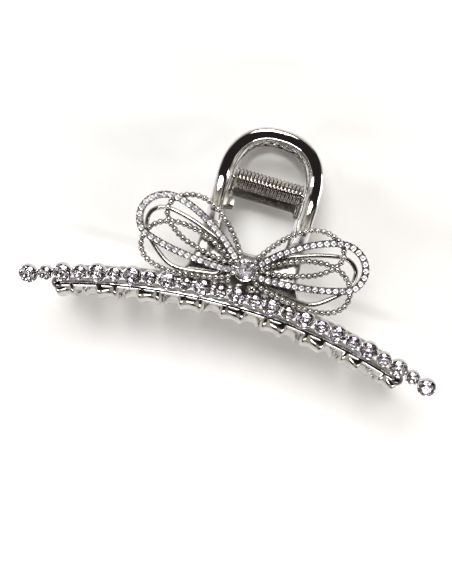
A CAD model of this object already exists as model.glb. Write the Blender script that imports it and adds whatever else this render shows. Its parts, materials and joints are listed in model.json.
"""Rhinestone butterfly claw clip: the looks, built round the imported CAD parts.

Shapes are drawn in millimetres in the clip's own frame: the hinge at the origin, the closing plane level,
the front jaw above it. Piece.build() lays them on the table and turns them into metres.
"""

import json
import math

import bmesh
import bpy
from mathutils import Matrix, Vector

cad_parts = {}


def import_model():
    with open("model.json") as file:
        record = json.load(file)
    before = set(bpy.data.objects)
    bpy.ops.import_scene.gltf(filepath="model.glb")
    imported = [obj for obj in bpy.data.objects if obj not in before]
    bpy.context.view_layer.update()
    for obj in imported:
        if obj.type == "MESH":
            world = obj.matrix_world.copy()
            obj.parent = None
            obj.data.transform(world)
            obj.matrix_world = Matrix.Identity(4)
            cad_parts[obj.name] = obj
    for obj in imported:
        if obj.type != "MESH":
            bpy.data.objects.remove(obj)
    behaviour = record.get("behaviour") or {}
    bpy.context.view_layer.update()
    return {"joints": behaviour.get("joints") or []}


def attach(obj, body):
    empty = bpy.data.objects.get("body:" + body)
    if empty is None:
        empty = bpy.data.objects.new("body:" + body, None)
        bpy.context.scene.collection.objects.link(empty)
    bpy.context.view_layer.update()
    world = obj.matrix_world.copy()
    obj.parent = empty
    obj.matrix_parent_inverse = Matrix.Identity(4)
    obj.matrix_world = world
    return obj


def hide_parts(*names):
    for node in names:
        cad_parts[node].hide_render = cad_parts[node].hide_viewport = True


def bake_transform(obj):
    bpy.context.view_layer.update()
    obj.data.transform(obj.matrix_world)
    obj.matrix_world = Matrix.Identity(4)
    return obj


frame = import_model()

MM = 0.001

# ---- The clip's main dimensions, as in the CAD, in millimetres ----

HINGE = Vector(frame["joints"][0]["pos_m"]) / MM
LIE_ANGLE = math.radians(11.15)
STONES = 25
PITCH = 4.5
BIG_CUP, SMALL_CUP = 4.9, 3.9
CUP_DEPTH = 1.75
CUP_WALL = 0.2
ARC_R = 138
STRIP_Y, STRIP_H = -29, 15.2
STRIP_TILT = math.radians(26)
JAW_HALF = 47.5
TOOTH_PITCH = 11.4
RAIL_AT, RAIL_R = (-4.5, -2.8), 0.9
KNOB_R = 1.7
HALF_W, REACH, BAR_W = 13.8, 14.8, 4.2
PIN_R = 0.65
EAR_T, EAR_R, INNER_EAR, OUTER_EAR = 1.4, 2.3, 10.3, 11.9
COIL_R, WIRE_R, COIL_START, COIL_PITCH, COIL_TURNS = 2.25, 0.475, -8.75, 1.01, 17
BUTTERFLY_Y, BUTTERFLY_H, WING_DROOP = -22, 17.6, math.radians(4)
CENTRE_D = 5
PAVE_D, PAVE_PITCH = 1.35, 1.7

CLIP = Matrix.Translation(HINGE) @ Matrix.Rotation(-LIE_ANGLE, 4, "X")
TURNED_OVER = Matrix.Scale(-1, 4, (0, 0, 1))


# ---- Curves ----


def catmull(a, b, c, d, t):
    return 0.5 * (2 * b + (c - a) * t + (2 * a - 5 * b + 4 * c - d) * t**2 + (3 * b - a - 3 * c + d) * t**3)


def spline(points, steps, closed=False):
    """A smooth line through points, with that many steps between each two."""
    p = [Vector(q) for q in points]
    n = len(p)
    if closed:
        return [
            catmull(p[i - 1], p[i], p[(i + 1) % n], p[(i + 2) % n], k / steps)
            for i in range(n)
            for k in range(steps)
        ]
    line = [
        catmull(p[max(i - 1, 0)], p[i], p[i + 1], p[min(i + 2, n - 1)], k / steps)
        for i in range(n - 1)
        for k in range(steps)
    ]
    return line + [p[-1]]


def evenly(line, spacing, closed=True):
    """Points at about that spacing along a line, with the line's direction at each."""
    pts = line + [line[0]] if closed else line
    lengths = [0.0]
    for a, b in zip(pts, pts[1:]):
        lengths.append(lengths[-1] + (b - a).length)
    count = max(1, round(lengths[-1] / spacing))
    found, i = [], 0
    for k in range(count if closed else count + 1):
        s = lengths[-1] * k / count
        while i < len(lengths) - 2 and lengths[i + 1] < s:
            i += 1
        t = (s - lengths[i]) / max(lengths[i + 1] - lengths[i], 1e-9)
        found.append((pts[i].lerp(pts[i + 1], t), (pts[i + 1] - pts[i]).normalized()))
    return found


def mix(a, b, t):
    return a + (b - a) * t


def rounded(c, power):
    return math.copysign(abs(c) ** power, c)


def circle(r, n, centre=(0, 0), power=1.0, ratio=1.0):
    """A closed outline of n points: round, or squarer for a power under 1."""
    turn = [2 * math.pi * k / n for k in range(n)]
    return [
        (centre[0] + r * rounded(math.cos(a), power), centre[1] + ratio * r * rounded(math.sin(a), power))
        for a in turn
    ]


# ---- Building pieces ----


class Piece:
    """Points and faces of one object, drawn in the clip's frame in millimetres."""

    def __init__(self):
        self.points, self.faces, self.slots = [], [], []

    def loft(self, rings, closed=False, slot=0, caps=True):
        """Skin over closed rings that all have the same number of points."""
        start, n, m = len(self.points), len(rings[0]), len(rings)
        for ring in rings:
            self.points += [Vector(p) for p in ring]
        for i in range(m if closed else m - 1):
            a, b = start + i * n, start + ((i + 1) % m) * n
            for k in range(n):
                self.add((a + k, a + (k + 1) % n, b + (k + 1) % n, b + k), slot)
        if not closed and caps:
            self.add(tuple(start + k for k in reversed(range(n))), slot)
            self.add(tuple(start + (m - 1) * n + k for k in range(n)), slot)

    def add(self, face, slot=0):
        self.faces.append(face)
        self.slots.append(slot)

    def tube(self, line, r, sides=10, closed=False, slot=0, flat=1.0):
        """A round wire along a line; flat under 1 makes it thinner across its second direction."""
        n = len(line)
        rings, side = [], None
        for i, p in enumerate(line):
            before = line[i - 1] if closed or i else p
            after = line[(i + 1) % n] if closed or i < n - 1 else p
            d = (after - before).normalized()
            if side is None:
                side = d.orthogonal() if abs(d.z) > 0.9 else d.cross(Vector((0, 0, 1)))
            side = (side - d * side.dot(d)).normalized()
            up = d.cross(side)
            radius = r[i] if isinstance(r, list) else r
            rings.append(
                [p + side * x + up * y for x, y in circle(radius, sides, ratio=flat)]
            )
        self.loft(rings, closed, slot)

    def lathe(self, place, profile, sides=32, slot=0):
        """A turned solid: profile is [radius, height] from its bottom to its top, in the frame of place."""
        turn = turn_angles(sides)
        rings = [[place @ Vector((r * math.cos(a), r * math.sin(a), h)) for a in turn] for r, h in profile]
        self.loft(rings, slot=slot)

    def ring_lathe(self, place, profile, sides=32, slot=0):
        """A turned ring: profile is a closed outline of [radius, height]."""
        turn = turn_angles(sides)
        rings = [[place @ Vector((r * math.cos(a), r * math.sin(a), h)) for r, h in profile] for a in turn]
        self.loft(rings, closed=True, slot=slot)

    def ball(self, centre, r, sides=10, rings=6, slot=0, place=Matrix()):
        """A round bead."""
        heights = [math.pi * k / rings for k in range(1, rings)]
        profile = [(r * math.sin(a), -r * math.cos(a)) for a in heights]
        self.lathe(place @ Matrix.Translation(Vector(centre)), profile, sides, slot)

    def build(self, name, body, nodes, materials, sharp=45, smooth=True, side=Matrix()):
        to_row = Matrix.Scale(MM, 4) @ CLIP @ side
        mesh = bpy.data.meshes.new(name)
        mesh.from_pydata([to_row @ p for p in self.points], [], self.faces)
        for m in materials:
            mesh.materials.append(m)
        mesh.polygons.foreach_set("material_index", self.slots)
        work = bmesh.new()
        work.from_mesh(mesh)
        bmesh.ops.recalc_face_normals(work, faces=work.faces)
        work.to_mesh(mesh)
        work.free()
        if smooth:
            mesh.shade_smooth()
            mesh.set_sharp_from_angle(angle=math.radians(sharp))
        piece = bpy.data.objects.new(name, mesh)
        bpy.context.scene.collection.objects.link(piece)
        if body:
            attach(piece, body)
        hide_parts(*nodes)
        return piece


def turn_angles(n):
    return [2 * math.pi * k / n for k in range(n)]


# ---- Places ----

STRIP = Matrix.Translation((0, STRIP_Y, STRIP_H)) @ Matrix.Rotation(STRIP_TILT, 4, "X")


def station(s):
    """A place at a distance along the strip's arc, with Z out of the crystals' faces."""
    return (
        STRIP
        @ Matrix.Translation((0, -ARC_R, 0))
        @ Matrix.Rotation(-s / ARC_R, 4, "Z")
        @ Matrix.Translation((0, ARC_R, 0))
    )


def stone_s(i):
    return (i - (STONES + 1) / 2) * PITCH


def cup_d(i):
    return BIG_CUP if i % 2 else SMALL_CUP


BUTTERFLY = Matrix.Translation((0, BUTTERFLY_Y, BUTTERFLY_H))


def wing_place(side):
    return BUTTERFLY @ Matrix.Scale(side, 4, (1, 0, 0)) @ Matrix.Rotation(WING_DROOP, 4, "Y")


# ---- Materials ----


def new_material(name):
    m = bpy.data.materials.new(name)
    m.use_nodes = True
    return m, m.node_tree.nodes, m.node_tree.links, m.node_tree.nodes["Principled BSDF"]


def noise(nodes, links, scale, detail=3.0, roughness=0.55):
    """Noise of a given number of cells a metre, in the object's own coordinates."""
    place = nodes.new("ShaderNodeTexCoord")
    n = nodes.new("ShaderNodeTexNoise")
    n.inputs["Scale"].default_value = scale
    n.inputs["Detail"].default_value = detail
    n.inputs["Roughness"].default_value = roughness
    links.new(place.outputs["Object"], n.inputs["Vector"])
    return n


def ramp(nodes, links, source, stops):
    r = nodes.new("ShaderNodeValToRGB")
    while len(r.color_ramp.elements) < len(stops):
        r.color_ramp.elements.new(0.5)
    for e, (at, colour) in zip(r.color_ramp.elements, stops):
        e.position = at
        e.color = (*colour, 1)
    links.new(source, r.inputs["Fac"])
    return r


def grey(v):
    return (v, v, v)


def plated(name, light, dark, rough, wave, bump):
    """Bright plated casting: light and dark tints, a range of roughness, and faint casting waves."""
    m, nodes, links, shader = new_material(name)
    shader.inputs["Metallic"].default_value = 1
    shader.inputs["Specular IOR Level"].default_value = 0.6
    tint = noise(nodes, links, 260, 4)
    links.new(ramp(nodes, links, tint.outputs["Fac"], [(0.35, dark), (0.65, light)]).outputs["Color"],
              shader.inputs["Base Color"])
    dull = noise(nodes, links, 900, 5, 0.65)
    rng = nodes.new("ShaderNodeMapRange")
    rng.inputs["From Min"].default_value = 0.3
    rng.inputs["From Max"].default_value = 0.75
    rng.inputs["To Min"].default_value = rough[0]
    rng.inputs["To Max"].default_value = rough[1]
    links.new(dull.outputs["Fac"], rng.inputs["Value"])
    links.new(rng.outputs["Result"], shader.inputs["Roughness"])
    waves = noise(nodes, links, wave, 2)
    b = nodes.new("ShaderNodeBump")
    b.inputs["Strength"].default_value = bump
    b.inputs["Distance"].default_value = 0.0002
    links.new(waves.outputs["Fac"], b.inputs["Height"])
    links.new(b.outputs["Normal"], shader.inputs["Normal"])
    return m


def crystal_glass(name, tint):
    """Clear cut glass: the crown of a crystal."""
    m, nodes, links, shader = new_material(name)
    shader.inputs["Transmission Weight"].default_value = 1
    shader.inputs["IOR"].default_value = 1.6
    cloud = noise(nodes, links, 420, 2)
    links.new(ramp(nodes, links, cloud.outputs["Fac"], [(0.3, tint), (0.7, (1, 1, 1))]).outputs["Color"],
              shader.inputs["Base Color"])
    haze = noise(nodes, links, 1500, 3)
    links.new(ramp(nodes, links, haze.outputs["Fac"], [(0.4, grey(0.0)), (0.8, grey(0.05))]).outputs["Color"],
              shader.inputs["Roughness"])
    return m


def crystal_foil(name, stops, metallic=1.0, rough=0.08):
    """The silvered back of a crystal, with a faint play of colour from facet to facet."""
    m, nodes, links, shader = new_material(name)
    shader.inputs["Metallic"].default_value = metallic
    shader.inputs["Roughness"].default_value = rough
    fire = noise(nodes, links, 420, 1)
    links.new(ramp(nodes, links, fire.outputs["Fac"], stops).outputs["Color"], shader.inputs["Base Color"])
    return m


POLISHED = plated("polished_plate", (0.82, 0.81, 0.81), (0.7, 0.69, 0.69), (0.03, 0.08), 120, 0.03)
SATIN = plated("satin_plate", (0.44, 0.43, 0.41), (0.32, 0.31, 0.29), (0.24, 0.36), 300, 0.04)
CAST = plated("cast_plate", (0.6, 0.58, 0.55), (0.4, 0.39, 0.36), (0.08, 0.18), 420, 0.12)
BEADED = plated("beaded_plate", (0.58, 0.56, 0.54), (0.3, 0.29, 0.27), (0.06, 0.14), 1600, 0.25)
RECESS = plated("recess_plate", (0.16, 0.155, 0.15), (0.08, 0.078, 0.075), (0.2, 0.35), 1600, 0.2)
CHANNEL = plated("channel_plate", (0.44, 0.43, 0.42), (0.22, 0.215, 0.21), (0.22, 0.34), 1600, 0.25)
CHAIN = plated("cup_plate", (0.74, 0.73, 0.73), (0.44, 0.43, 0.44), (0.06, 0.14), 700, 0.08)
TEETH = plated("tooth_plate", (0.58, 0.57, 0.54), (0.4, 0.39, 0.37), (0.05, 0.12), 300, 0.06)
KNOB = plated("knob_plate", (0.26, 0.24, 0.24), (0.14, 0.125, 0.13), (0.04, 0.1), 300, 0.05)
WIRE = plated("spring_wire", (0.5, 0.47, 0.45), (0.33, 0.3, 0.28), (0.06, 0.14), 1200, 0.08)
GLASS = crystal_glass("crystal_glass", (0.93, 0.88, 0.95))
FOIL = crystal_foil(
    "crystal_foil",
    [
        (0.34, (0.5, 0.46, 0.53)),
        (0.42, (0.9, 0.88, 0.93)),
        (0.58, (0.99, 0.97, 0.97)),
        (0.7, (0.72, 0.72, 0.84)),
    ],
)
CENTRE_FOIL = crystal_foil("centre_foil", [(0.4, (0.7, 0.68, 0.73)), (0.5, (1, 1, 1))], 0.85, 0.06)
PAVE_STONE = crystal_foil("pave_stone", [(0.4, (0.45, 0.43, 0.47)), (0.52, (0.98, 0.97, 1))], 0.55, 0.1)

# ---- Jaws ----

# Side line of a jaw's frame from the handle's tip to the strip: (y, height, half thickness)
FRAME_LINE = spline(
    [
        (REACH + 0.2, 6.8, 1.4), (9.5, 5.7, 1.45), (4, 4.9, 1.45), (-1, 4.6, 1.4), (-5, 5.6, 1.35),
        (-9, 7.3, 1.25), (-13.5, 10.8, 1.1), (-18.2, 13.5, 1.05), (-23, 14.3, 0.95), (-26, 13.8, 0.9),
        (STRIP_Y + 1, STRIP_H - 2.4, 0.85),
    ],
    12,
)


def frame_at(y):
    """Height, half thickness and outward direction (in Y and Z) of the frame's sheet at y."""
    for a, b in zip(FRAME_LINE, FRAME_LINE[1:]):
        if b.x <= y <= a.x or (b is FRAME_LINE[-1] and y < b.x) or (a is FRAME_LINE[0] and y > a.x):
            t = (y - a.x) / (b.x - a.x)
            slope = (b.y - a.y) / (b.x - a.x)
            return mix(a.y, b.y, t), mix(a.z, b.z, min(max(t, 0), 1)), Vector((-slope, 1)).normalized()


def on_frame(x, y, off):
    h, _, n = frame_at(y)
    return Vector((x, y + off * n.x, h + off * n.y))


# Under 1, the handle's D is squarer than an ellipse
D_POWER = 0.86


def d_point(w, h, a):
    return Vector((w * rounded(math.cos(a), D_POWER), h * abs(math.sin(a)) ** D_POWER))


def strip_edge(x):
    """Y of the plate's lower edge, which follows the strip."""
    return STRIP_Y + 0.6 - 0.9 * x * x / (2 * ARC_R)


# Outer end of a leg in plan, and how square the sections of the bar and of the plate are outside
LEG_END = (13.35, -14.5)
BAR_EDGE, PLATE_EDGE = 0.66, 0.42
# How far a leg widens inwards, and how far the opening reaches past the legs' ends
LEG_WIDENS, OPENING_FOOT = 0.5, 4
# Spacing of the sections round the plate, and how soon their edge squares up
PLATE_SPACING, EDGE_CHANGE = 2.2, 2.5


def frame_stations():
    """Inner and outer plan points round the frame and how square its edge is there, from the D's top."""
    top = [math.radians(a) for a in range(90, -1, -6)]
    inside = HALF_W - BAR_W
    half = [(d_point(inside, REACH - BAR_W, a), d_point(HALF_W, REACH, a), BAR_EDGE) for a in top]
    leg_steps = 8
    for k in range(1, leg_steps):
        t = k / leg_steps
        y = mix(0, LEG_END[1], t)
        half.append((Vector((inside - LEG_WIDENS * t, y)), Vector((mix(HALF_W, LEG_END[0], t), y)), BAR_EDGE))
    along_strip = [(x, strip_edge(x)) for x in (16.6, 11, 5.5, 0)]
    foot = spline([LEG_END, (13.3, -18), (13.6, -22), (14.7, -25.4)] + along_strip, 6)
    outer = [p for p, _ in evenly(foot, PLATE_SPACING, closed=False)]
    for k, p in enumerate(outer):
        a = math.pi / 2 * k / (len(outer) - 1)
        inner = Vector(((inside - LEG_WIDENS) * math.cos(a), LEG_END[1] - OPENING_FOOT * math.sin(a)))
        half.append((inner, p, mix(BAR_EDGE, PLATE_EDGE, min(1, EDGE_CHANGE * k / len(outer)))))
    flip = Matrix(((-1, 0), (0, 1)))
    left = [(flip @ i, flip @ o, e) for i, o, e in reversed(half[1:-1])]
    return half + left


# How soon the bar's inner bevel turns down
BEVEL_BEND = 1.75


def band_section(power):
    """Section of the frame's bar: squarer outside, with a long bevel down to the opening."""
    outline = []
    for p, q in circle(1, 40):
        if p > 0:
            outline.append((rounded(p, power), rounded(q, power)))
        else:
            outline.append((p, math.copysign(1 - abs(p) ** BEVEL_BEND, q)))
    return outline


# Where the polish of the legs gives way to the duller plate
PLATE_FROM = -11.5
# Places in a jaw's list of materials, after the polished plate
IN_SATIN, IN_TEETH, IN_KNOB = 1, 2, 3


def frame_casting(piece):
    """Handle, legs and plate as one smooth domed band round the opening."""
    rings = []
    for inner, outer, power in frame_stations():
        ring = []
        for p, q in band_section(power):
            plan = mix(inner, outer, (1 + p) / 2)
            _, half_t, _ = frame_at(plan.y)
            ring.append(on_frame(plan.x, plan.y, half_t * q))
        rings.append(ring)
    first = len(piece.slots)
    piece.loft(rings, closed=True)
    for k in range(first, len(piece.slots)):
        if max(piece.points[i].y for i in piece.faces[k]) < PLATE_FROM:
            piece.slots[k] = IN_SATIN


# The arm has this part of its width at its ends, and would gain a whole width over this many millimetres
ARM_END, ARM_TAPER = 0.35, 4
ARM_STEPS = 40
KNOB_SHIFT = 0.3


def arm(piece):
    """The flat arm under the strip, the polished rail in front of it and the knobs at its ends."""
    top = [(0.1, -2), (-1.2, -1.86), (-2.6, -1.9), (-3.8, -2.45), (-4.4, -3)]
    under = [(-3.6, -3.44), (-2, -3.48), (-0.3, -3.4)]
    arm_outline = spline(top + under, 3, closed=True)
    places = [JAW_HALF * k / ARM_STEPS for k in range(-ARM_STEPS, ARM_STEPS + 1)]
    rings = []
    for s in places:
        taper = min(1, ARM_END + (JAW_HALF - abs(s)) / ARM_TAPER)
        rings.append([station(s) @ Vector((0, mix(RAIL_AT[0], p.x, taper), p.y)) for p in arm_outline])
    piece.loft(rings, slot=IN_SATIN)
    round_rail = circle(RAIL_R, 18, RAIL_AT)
    piece.loft([[station(s) @ Vector((0, u, v)) for u, v in round_rail] for s in places])
    knob_at = (0, RAIL_AT[0] + KNOB_SHIFT, RAIL_AT[1] - KNOB_SHIFT)
    for end in (-1, 1):
        piece.ball(knob_at, KNOB_R, 24, 16, IN_KNOB, station(end * JAW_HALF))


# Side line of a tooth: out from the rail, down, and round a hook
TOOTH_HOOK_R, TOOTH_HOOK_OUT, TOOTH_HOOK_DOWN = 8.5, 6.4, 13.5
TOOTH_HOOK = [
    (TOOTH_HOOK_R * (1 - math.cos(a)) - TOOTH_HOOK_OUT, -TOOTH_HOOK_DOWN - TOOTH_HOOK_R * math.sin(a))
    for a in [math.radians(degrees) for degrees in range(0, 66, 13)]
]
TOOTH_LINE = spline([(-3, -4.1), (-5.1, -5.1), (-6.2, -7.3), (-6.4, -10)] + TOOTH_HOOK, 4)
# Half widths of a tooth at its root and its tip, and half its thickness
TOOTH_ROOT, TOOTH_TIP, TOOTH_T = 3.5, 1.7, 0.95
TOOTH_SHRINK = 0.25
# How deep the web lies between the ribs, and how far along a tooth its narrowing and its round tip start
WEB_DEPTH = 0.75
NARROW_FROM, TIP_FROM, TIP_LENGTH = 0.12, 0.86, 0.15


def tooth_section(half_w, t, web):
    """Outline across a tooth: outside two rounded ribs with a hollow web between them, inside plain."""
    outline = []
    outer_steps, inner_steps, web_half = 14, 8, 0.66
    for k in range(outer_steps + 1):
        f = 2 * k / outer_steps - 1
        edge = (1 - abs(f) ** 5) ** 0.5
        hollow = web * max(0, 1 - (abs(f) / web_half) ** 2.2)
        outline.append((half_w * f, t * edge - hollow))
    for k in range(1, inner_steps):
        f = 1 - 2 * k / inner_steps
        outline.append((half_w * f, -t * 0.9 * (1 - abs(f) ** 4) ** 0.5))
    return outline


def tooth(piece, s):
    shrink = 1 - TOOTH_SHRINK * (s / JAW_HALF) ** 2
    root = Matrix.Translation((0, TOOTH_LINE[0].x, TOOTH_LINE[0].y))
    upright = station(s) @ Matrix.Rotation(-STRIP_TILT, 4, "X")
    place = upright @ root @ Matrix.Scale(shrink, 4) @ root.inverted()
    n = len(TOOTH_LINE)
    rings = []
    for i, p in enumerate(TOOTH_LINE):
        d = (TOOTH_LINE[min(i + 1, n - 1)] - TOOTH_LINE[max(i - 1, 0)]).normalized()
        out = Vector((d.y, -d.x))
        t = i / (n - 1)
        end = (1 - max(0, (t - TIP_FROM) / TIP_LENGTH) ** 2) ** 0.5
        narrowing = max(0, (t - NARROW_FROM) / (1 - NARROW_FROM))
        half_w = mix(TOOTH_ROOT, TOOTH_TIP, narrowing) * mix(0.35, 1, end)
        thick = TOOTH_T * mix(0.3, 1, end)
        web = WEB_DEPTH * min(1, (1 - t) * 2.2)
        section = tooth_section(half_w, thick, web)
        rings.append([place @ Vector((x, p.x + v * out.x, p.y + v * out.y)) for x, v in section])
    piece.loft(rings, slot=IN_TEETH)


def extrude_x(piece, outline, x0, x1, bevel=0.2):
    """A plate with soft edges: an outline in Y and Z between two places along X."""
    c = Vector((sum(p[0] for p in outline), sum(p[1] for p in outline))) / len(outline)
    rings = []
    soft = 0.4 * bevel, 0.35 * bevel
    first_side = [(x0, bevel), (x0 + soft[0], soft[1]), (x0 + bevel, 0)]
    last_side = [(x1 - bevel, 0), (x1 - soft[0], soft[1]), (x1, bevel)]
    for x, shrink in first_side + last_side:
        ring = []
        for p in outline:
            v = Vector(p) - c
            q = c + v * (1 - shrink / v.length)
            ring.append(Vector((x, q.x, q.y)))
        rings.append(ring)
    piece.loft(rings)


def ears(piece, x):
    """The two ears that hang from the legs round the pin."""
    half_turn = [math.radians(a) for a in range(180, 361, 12)]
    flare = [(EAR_R, 1.5), (EAR_R + 0.4, 3), (EAR_R + 0.9, 4.4)]
    outline = [(EAR_R * math.cos(a), EAR_R * math.sin(a)) for a in half_turn] + flare
    outline += [(-y, z) for y, z in reversed(flare)]
    for k in (-1, 1):
        a, b = sorted((k * x, k * (x + EAR_T)))
        extrude_x(piece, outline, a, b)


# A rest's share of the sheet's thickness, and the length of its fillets
REST_T, REST_FILLET = 0.92, 2.4


def spring_rest(piece, x0, x1, y0, y1, flare):
    """A tab or bridge inside the legs, widening into fillets where it meets them."""
    steps = 24
    rings = []
    for k in range(steps + 1):
        x = mix(x0, x1, k / steps)
        grow = sum(max(0, 1 - abs(x - e) / REST_FILLET) ** 2 * f for e, f in flare)
        ring = []
        for p, q in circle(1, 20, power=0.55):
            y = mix(y0 - grow, y1 + grow, (1 + p) / 2)
            _, half_t, _ = frame_at(y)
            ring.append(on_frame(x, y, REST_T * half_t * q))
        rings.append(ring)
    piece.loft(rings, slot=IN_SATIN)


def jaw(name, teeth, ear_x, side):
    piece = Piece()
    frame_casting(piece)
    arm(piece)
    for s in teeth:
        tooth(piece, s)
    ears(piece, ear_x)
    inside = HALF_W - BAR_W
    if name == "front_jaw":
        spring_rest(piece, -inside - 0.5, 2.2 - inside, -8.2, -5, [(-inside - 0.5, 1.2)])
    else:
        spring_rest(piece, -inside - 0.5, inside + 0.5, -4.6, -1.8, [(-inside, 1.6), (inside, 1.6)])
    metals = [POLISHED, SATIN, TEETH, KNOB]
    piece.build(name + "_casting", name, [name], metals, sharp=50, side=side)


jaw("front_jaw", [k * TOOTH_PITCH for k in range(-4, 5)], INNER_EAR, Matrix())
jaw("back_jaw", [(k + 0.5) * TOOTH_PITCH for k in range(-4, 4)], OUTER_EAR, TURNED_OVER)


# ---- Hinge ----


def hinge_pin():
    """The pin through the coils and the ears, with a rounded head at each end."""
    piece = Piece()
    half = OUTER_EAR + EAR_T
    along = Matrix.Rotation(math.pi / 2, 4, "Y")
    head = [(0.25, 0.5), (0.7, 0.46), (1.0, 0.32), (1.12, 0.14), (1.1, 0), (PIN_R, 0)]
    profile = [(r, -half - h) for r, h in head] + [(r, half + h) for r, h in reversed(head)]
    piece.lathe(along, profile, 24)
    piece.build("hinge_pin_rivet", "back_jaw", ["hinge_pin"], [CAST])


# The wire leaves the coils this far above and below the level, and each leg hooks over its jaw: (y, height)
COIL_LEAVE, COIL_STEPS = math.radians(68), 26
# The spring bends only between its end coils, this far in from each
FRONT_HOOK = [(-7, 9.2), (-5.3, 8.1), (-4.2, 6.7), (-3.5, 4.5), (-1.8, 3.1)]
BACK_HOOK = [(-1.7, -2.5), (-4, -2.75), (-5.2, -3.3), (-5.8, -4.6), (-5.7, -6.3), (-4.9, -7.5), (-3.2, -7.2)]


def torsion_spring():
    """Close-wound coils with a leg hooked over each jaw."""
    leave = COIL_LEAVE
    sweep = 2 * math.pi * COIL_TURNS + 2 * leave
    coil_end = COIL_START + sweep / (2 * math.pi) * COIL_PITCH
    steps = COIL_TURNS * COIL_STEPS
    line = spline(
        [(COIL_START, y, z) for y, z in FRONT_HOOK]
        + [(COIL_START, COIL_R * math.cos(leave), COIL_R * math.sin(leave))],
        5,
    )[:-1]
    for i in range(steps + 1):
        a = leave - i * sweep / steps
        x = mix(COIL_START, coil_end, i / steps)
        line.append(Vector((x, COIL_R * math.cos(a), COIL_R * math.sin(a))))
    line += spline(
        [(coil_end, COIL_R * math.cos(leave), -COIL_R * math.sin(leave))]
        + [(coil_end, y, z) for y, z in BACK_HOOK],
        5,
    )[1:]
    piece = Piece()
    piece.tube(line, WIRE_R, 10)
    spring = piece.build("torsion_spring_wire", None, ["torsion_spring"], [WIRE], sharp=80)
    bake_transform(spring)


hinge_pin()
torsion_spring()


# ---- Strip of crystals ----

GIRDLE = 0.3
# Each crystal of the strip is turned this far past the last, so that no two catch the light alike
CRYSTAL_TURN = 1.7
# A link between two cups: half width, flatness, depth below the faces, and places along it
LINK_R, LINK_FLAT, LINK_DROP = 0.72, 0.65, 1.1
LINK_ALONG = (-0.55, -0.2, 0.2, 0.55)


def cut_crystal(piece, place, d, sides=8):
    """A brilliant: glass table, star and kite facets over a silvered girdle and pavilion.

    The radii and heights of its rings are parts of its own radius, apart from the girdle's height.
    """
    r = d / 2

    def ring(n, radius, height, shift):
        first = len(piece.points)
        for k in range(n):
            a = 2 * math.pi * (k + shift) / n
            piece.points.append(place @ Vector((radius * math.cos(a), radius * math.sin(a), height)))
        return [first + k for k in range(n)]

    table = ring(sides, 0.56 * r, 0.25 * r, 0.5)
    star = ring(sides, 0.8 * r, 0.15 * r, 0)
    crown = ring(2 * sides, r, 0, 0)
    girdle = ring(2 * sides, r, -GIRDLE, 0)
    waist = ring(sides, 0.55 * r, -GIRDLE - 0.27 * r, 0)
    tip = ring(sides, 0.12 * r, -GIRDLE - 0.5 * r, 0.5)
    piece.add(tuple(table))
    for k in range(sides):
        n = (k + 1) % sides
        piece.add((table[k], table[n], star[n]))
        piece.add((table[k], star[n], crown[(2 * k + 1) % (2 * sides)], star[k]))
        piece.add((star[k], crown[(2 * k + 1) % (2 * sides)], crown[2 * k]))
        piece.add((star[n], crown[(2 * k + 2) % (2 * sides)], crown[2 * k + 1]))
        piece.add((waist[k], girdle[2 * k], girdle[2 * k + 1]), 1)
        piece.add((waist[n], girdle[2 * k + 1], girdle[(2 * k + 2) % (2 * sides)]), 1)
        piece.add((waist[k], girdle[2 * k + 1], waist[n], tip[k]), 1)
        piece.add((waist[k], tip[k], tip[k - 1]), 1)
    for k in range(2 * sides):
        n = (k + 1) % (2 * sides)
        piece.add((crown[k], crown[n], girdle[n], girdle[k]), 1)
    piece.add(tuple(tip), 1)


def crystal_piece(name, place, d, node, foil):
    piece = Piece()
    cut_crystal(piece, place, d)
    piece.build(name, "front_jaw", [node], [GLASS, foil], smooth=False)


def cup_chain():
    """Round cups of two sizes, joined by short links where they meet."""
    piece = Piece()
    link = circle(LINK_R, 14, power=0.7, ratio=LINK_FLAT)
    for i in range(1, STONES + 1):
        r = cup_d(i) / 2
        bore = r - CUP_WALL
        base = [(0.3, 0), (r - 0.55, 0), (r - 0.28, 0.12), (r - 0.1, 0.5)]
        rim = [(r - 0.02, -0.6), (r, -0.15), (r - 0.02, 0.04), (r - 0.12, 0.1), (bore + 0.03, 0.05)]
        ledge = [(bore + 0.02, -0.3), (0.88 * bore, -0.36)]
        bottom = [(0.6 * bore, 0.35), (0.3, 0.3)]
        outside = [(a, h - CUP_DEPTH) for a, h in base] + rim
        inside = ledge + [(a, h - CUP_DEPTH) for a, h in bottom]
        piece.lathe(station(stone_s(i)), outside + inside, 36)
    for i in range(1, STONES):
        a, b = cup_d(i), cup_d(i + 1)
        s = (stone_s(i) * b + stone_s(i + 1) * a) / (a + b)
        piece.loft([[station(s + x) @ Vector((0, u, v - LINK_DROP)) for u, v in link] for x in LINK_ALONG])
    piece.build("cup_chain", "front_jaw", ["strip_cup_chain"], [CHAIN], sharp=35)


cup_chain()
for i in range(1, STONES + 1):
    spin = Matrix.Rotation(i * CRYSTAL_TURN, 4, "Z")
    place = station(stone_s(i)) @ spin
    crystal_piece(f"crystal_{i}", place, cup_d(i) - 2 * CUP_WALL, f"strip_crystal_{i}", FOIL)


# ---- Butterfly ----

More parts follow.
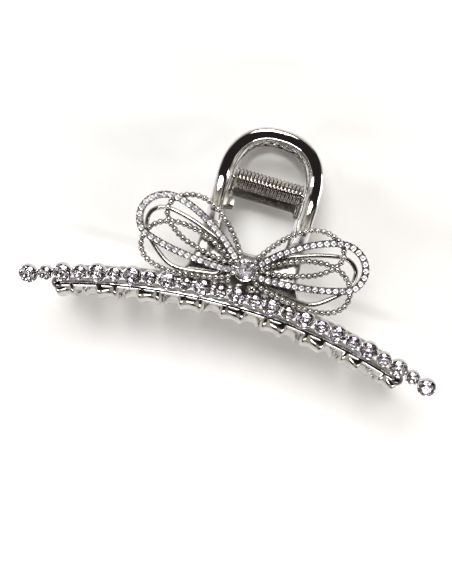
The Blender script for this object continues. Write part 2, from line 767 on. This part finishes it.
PAVE_LOOP = [
    (2.5, 1.2), (6, 4.9), (10, 7.9), (15, 10.7), (20, 12.5), (24, 12.7), (27.6, 10.7), (29.2, 7), (27.6, 2.8),
    (23, 1), (17, -0.2), (10, -0.9), (4, -0.9),
]
UPPER_LOOP = [
    (2, 2.6), (5.2, 7.6), (9, 11.4), (13, 13.9), (17, 14.5), (21, 13), (22.9, 9.8), (21.4, 6.4), (17, 3.3),
    (11, 1.6), (5, 0.7),
]
LOWER_LOOP = [
    (4, 1.2), (9.5, 4.7), (15, 6.4), (20, 6.8), (24.2, 5.4), (26.8, 2.2), (26.7, -1.6), (24, -4.3),
    (19, -5.4), (13, -4.9), (7, -3.8), (3, -2),
]
UNDER_LOOP = [
    (7, 4.2), (13, 7.2), (19, 9), (24, 9.5), (27, 7.2), (26.6, 3), (23, -1), (18, -4), (11, -3.6), (6, -2),
]
PAVE_TOP = 0.5
STRUT_X, STRUT_R = 14, 0.65
BEAD_R, BEAD_PITCH = 0.78, 1.5
BEAD_WIRE_R, BEAD_WIRE_DROP = 0.5, 0.25
GRAIN_R, GRAIN_SIDE, GRAIN_H = 0.26, 0.7, 0.4
# Heights of the beaded loops and of the plain loop under them, and the plain wire's radius
BEADED_H, UNDER_H, UNDER_R = -0.25, -1.55, 0.6
# Polished balls below the centre crystal: (x, y, radius)
BALLS, BALL_H = [(2.9, -4.1, 1.15), (-3.4, -3.6, 0.8), (-4.9, -2.9, 0.7)], -1.3
# Places in the butterfly's list of materials, after the beaded plate
IN_RECESS, IN_CHANNEL, IN_CAST = 1, 2, 3


def loop_line(loop, height, steps=6):
    return [Vector((p.x, p.y, height)) for p in spline(loop, steps, closed=True)]


def beaded_loop(piece, place, loop, height):
    """A wire with a row of beads along it."""
    line = loop_line(loop, height)
    wire = [place @ p for p in loop_line(loop, height - BEAD_WIRE_DROP)]
    piece.tube(wire, BEAD_WIRE_R, 8, closed=True, slot=IN_RECESS)
    for p, _ in evenly(line, BEAD_PITCH):
        piece.ball(p, BEAD_R, 14, 9, place=place)


def pave_rail(piece, place):
    """The channel that holds the small crystals, with a grain at each side of every gap."""
    line = loop_line(PAVE_LOOP, 0)
    one_side = [(0.85, -0.9), (0.85, 0.25), (0.78, 0.42), (0.66, 0.42), (0.6, 0.2)]
    outline = one_side + [(-u, v) for u, v in reversed(one_side)]
    n = len(line)
    rings = []
    for i, p in enumerate(line):
        d = (line[(i + 1) % n] - line[i - 1]).normalized()
        side = Vector((-d.y, d.x, 0))
        rings.append([place @ (p + side * u + Vector((0, 0, v))) for u, v in outline])
    piece.loft(rings, closed=True, slot=IN_CHANNEL)
    for p, d in evenly(line, PAVE_PITCH / 2):
        side = Vector((-d.y, d.x, 0))
        for k in (-1, 1):
            at = p + side * k * GRAIN_SIDE + Vector((0, 0, GRAIN_H))
            piece.ball(at, GRAIN_R, 8, 5, place=place)


def butterfly_casting():
    """Both wings, the struts to the jaw, the hub and the polished balls below it."""
    piece = Piece()
    for side in (-1, 1):
        place = wing_place(side)
        pave_rail(piece, place)
        beaded_loop(piece, place, UPPER_LOOP, BEADED_H)
        beaded_loop(piece, place, LOWER_LOOP, BEADED_H)
        under = [place @ p for p in loop_line(UNDER_LOOP, UNDER_H)]
        piece.tube(under, UNDER_R, 12, closed=True, slot=IN_CAST)
        x = side * STRUT_X
        top = (x, BUTTERFLY_Y - 4.6, BUTTERFLY_H - 1.7)
        bend = (x, BUTTERFLY_Y - 5.9, BUTTERFLY_H - 2.6)
        foot = (x, STRIP_Y + 0.8, STRIP_H - 2.6)
        piece.tube(spline([top, bend, foot], 6), STRUT_R, 12)
    hub = [(0.4, -3), (1.6, -3), (1.9, -2.4), (2.9, -1.9), (3.05, -1.4), (2.8, -0.9), (0.4, -0.9)]
    piece.lathe(BUTTERFLY, hub, 28)
    for x, y, r in BALLS:
        piece.ball((x, y, BALL_H), r, 18, 12, place=BUTTERFLY)
    metals = [BEADED, RECESS, CHANNEL, CAST]
    piece.build("butterfly_loops", "front_jaw", ["butterfly_casting"], metals, sharp=50)


def centre_setting():
    """A collar with six claws round the centre crystal."""
    piece = Piece()
    r = CENTRE_D / 2
    outside = [(r + 0.35, -0.9), (r + 0.38, 0.5), (r + 0.34, 1.25), (r + 0.2, 1.4), (r + 0.04, 1.35)]
    inside = [(r + 0.03, 1.1), (0.89 * r, 1.05), (0.89 * r, -0.4), (0.3, -0.4), (0.3, -0.9)]
    piece.ring_lathe(BUTTERFLY, outside + inside, 40)
    claw = [(r + 0.35, 0, 0.2), (r + 0.36, 0, 1.2), (r + 0.12, 0, 1.75), (r - 0.3, 0, 1.85)]
    claw_radii = [0.3] * 9 + [0.27, 0.24, 0.2, 0.12]
    for k in range(6):
        turn = Matrix.Rotation(math.radians(30 + 60 * k), 4, "Z")
        piece.tube([BUTTERFLY @ turn @ p for p in spline(claw, 4)], claw_radii, 8)
    piece.build("centre_setting_claws", "front_jaw", ["centre_setting"], [POLISHED], sharp=40)


def wing_pave(name, side):
    """Small crystals evenly spaced along a wing's outer loop, clear of the centre setting."""
    piece = Piece()
    for p, _ in evenly(loop_line(PAVE_LOOP, 0), PAVE_PITCH):
        if p.length > CENTRE_D / 2 + PAVE_D:
            cut_crystal(piece, wing_place(side) @ Matrix.Translation((p.x, p.y, PAVE_TOP)), PAVE_D, 6)
    piece.slots = [0] * len(piece.slots)
    piece.build(name + "_stones", "front_jaw", [name], [PAVE_STONE], smooth=False)


butterfly_casting()
centre_setting()
centre_place = BUTTERFLY @ Matrix.Translation((0, 0, 1.1 + GIRDLE))
crystal_piece("centre_stone", centre_place, CENTRE_D, "centre_crystal", CENTRE_FOIL)
wing_pave("left_wing_pave", -1)
wing_pave("right_wing_pave", 1)


# ---- Studio ----

# Colour sockets of Blender's Mix node
MIX_A, MIX_B, MIX_RESULT = 6, 7, 2
# What the lights face, in metres
CLIP_MIDDLE = (0, 0, 0.02)
DAYLIGHT = (1, 0.99, 0.975)


def floor():
    """A wide sheet of pale card."""
    mesh = bpy.data.meshes.new("studio_floor")
    n, half = 24, 3.0
    row = n + 1
    marks = [mix(-half, half, i / n) for i in range(row)]
    points = [(x, y, 0) for y in marks for x in marks]
    corners = [j * row + i for j in range(n) for i in range(n)]
    mesh.from_pydata(points, [], [(c, c + 1, c + 1 + row, c + row) for c in corners])
    m, nodes, links, shader = new_material("pale_card")
    shader.inputs["Roughness"].default_value = 0.7
    shader.inputs["Specular IOR Level"].default_value = 0.2
    fibre = noise(nodes, links, 35, 4)
    paper = ramp(nodes, links, fibre.outputs["Fac"], [(0.3, (0.86, 0.855, 0.85)), (0.7, (0.9, 0.897, 0.892))])
    links.new(paper.outputs["Color"], shader.inputs["Base Color"])
    mesh.materials.append(m)
    card = bpy.data.objects.new("studio_floor", mesh)
    bpy.context.scene.collection.objects.link(card)


def world():
    """A room with bright patches part of the way up, pale at the table's level and dark overhead."""
    w = bpy.data.worlds.new("room")
    bpy.context.scene.world = w
    w.use_nodes = True
    nodes, links = w.node_tree.nodes, w.node_tree.links
    place = nodes.new("ShaderNodeTexCoord")
    split = nodes.new("ShaderNodeSeparateXYZ")
    links.new(place.outputs["Generated"], split.inputs["Vector"])
    clutter = nodes.new("ShaderNodeTexNoise")
    clutter.inputs["Scale"].default_value = 2.1
    clutter.inputs["Detail"].default_value = 3
    links.new(place.outputs["Generated"], clutter.inputs["Vector"])
    room = ramp(
        nodes, links, clutter.outputs["Fac"],
        [
            (0.38, (0.02, 0.018, 0.017)),
            (0.45, (0.11, 0.07, 0.055)),
            (0.5, (0.42, 0.4, 0.33)),
            (0.6, (0.72, 0.7, 0.62)),
        ],
    )
    height = ramp(nodes, links, split.outputs["Z"], [(0.04, grey(1.0)), (0.12, grey(0.0))])
    ceiling = ramp(nodes, links, split.outputs["Z"], [(0.5, grey(0.0)), (0.72, grey(1.0))])
    low = nodes.new("ShaderNodeMix")
    low.data_type = "RGBA"
    links.new(height.outputs["Color"], low.inputs["Factor"])
    links.new(room.outputs["Color"], low.inputs[MIX_A])
    low.inputs[MIX_B].default_value = (0.9, 0.9, 0.9, 1)
    top = nodes.new("ShaderNodeMix")
    top.data_type = "RGBA"
    links.new(ceiling.outputs["Color"], top.inputs["Factor"])
    links.new(low.outputs[MIX_RESULT], top.inputs[MIX_A])
    top.inputs[MIX_B].default_value = (0.022, 0.018, 0.018, 1)
    links.new(top.outputs[MIX_RESULT], nodes["Background"].inputs["Color"])


def softbox(name, place, size, power, colour):
    """A rectangular light that faces the clip."""
    light = bpy.data.lights.new(name, "AREA")
    light.shape = "RECTANGLE"
    light.size, light.size_y = size
    light.energy = power
    light.color = colour
    o = bpy.data.objects.new(name, light)
    bpy.context.scene.collection.objects.link(o)
    o.location = place
    o.rotation_euler = (Vector(CLIP_MIDDLE) - Vector(place)).to_track_quat("-Z", "Y").to_euler()


def sun(towards, power, spread, colour):
    """Even light over the whole floor, soft enough for a studio."""
    light = bpy.data.lights.new("daylight", "SUN")
    light.energy, light.color, light.angle = power, colour, math.radians(spread)
    o = bpy.data.objects.new("daylight", light)
    bpy.context.scene.collection.objects.link(o)
    o.rotation_euler = (-Vector(towards)).to_track_quat("-Z", "Y").to_euler()


def camera():
    """Above the clip, leaning over its handles, with the clip turned in the picture."""
    strip_middle = Matrix.Scale(MM, 4) @ CLIP @ Vector((0, STRIP_Y, STRIP_H))
    target = strip_middle + Vector((-3.06, 0.32, 0)) * MM
    lean, roll, distance = math.radians(14), math.radians(16), 0.34
    back = Vector((0, math.sin(lean), math.cos(lean)))
    right = Vector((1, 0, 0))
    up = back.cross(right)
    x = right * math.cos(roll) + up * math.sin(roll)
    y = up * math.cos(roll) - right * math.sin(roll)
    data = bpy.data.cameras.new("view")
    data.lens = 83.8
    data.clip_start, data.clip_end = 0.01, 20
    o = bpy.data.objects.new("view", data)
    bpy.context.scene.collection.objects.link(o)
    o.matrix_world = Matrix.Translation(target + back * distance) @ Matrix((x, y, back)).transposed().to_4x4()
    bpy.context.scene.camera = o


floor()
world()
sun((-0.12, 0.42, 0.62), 2.05, 26, DAYLIGHT)
softbox("window", (-0.1, 0.42, 0.62), (0.42, 0.22), 1.5, DAYLIGHT)
softbox("left_card", (-0.55, -0.15, 0.4), (0.12, 0.35), 0.9, (0.97, 0.98, 1))
softbox("right_card", (0.55, 0.1, 0.35), (0.12, 0.3), 0.8, (1, 0.97, 0.95))
softbox("front_card", (0.05, -0.5, 0.45), (0.5, 0.06), 1.3, (1, 0.97, 0.96))
camera()
bpy.context.scene.view_settings.view_transform = "Standard"
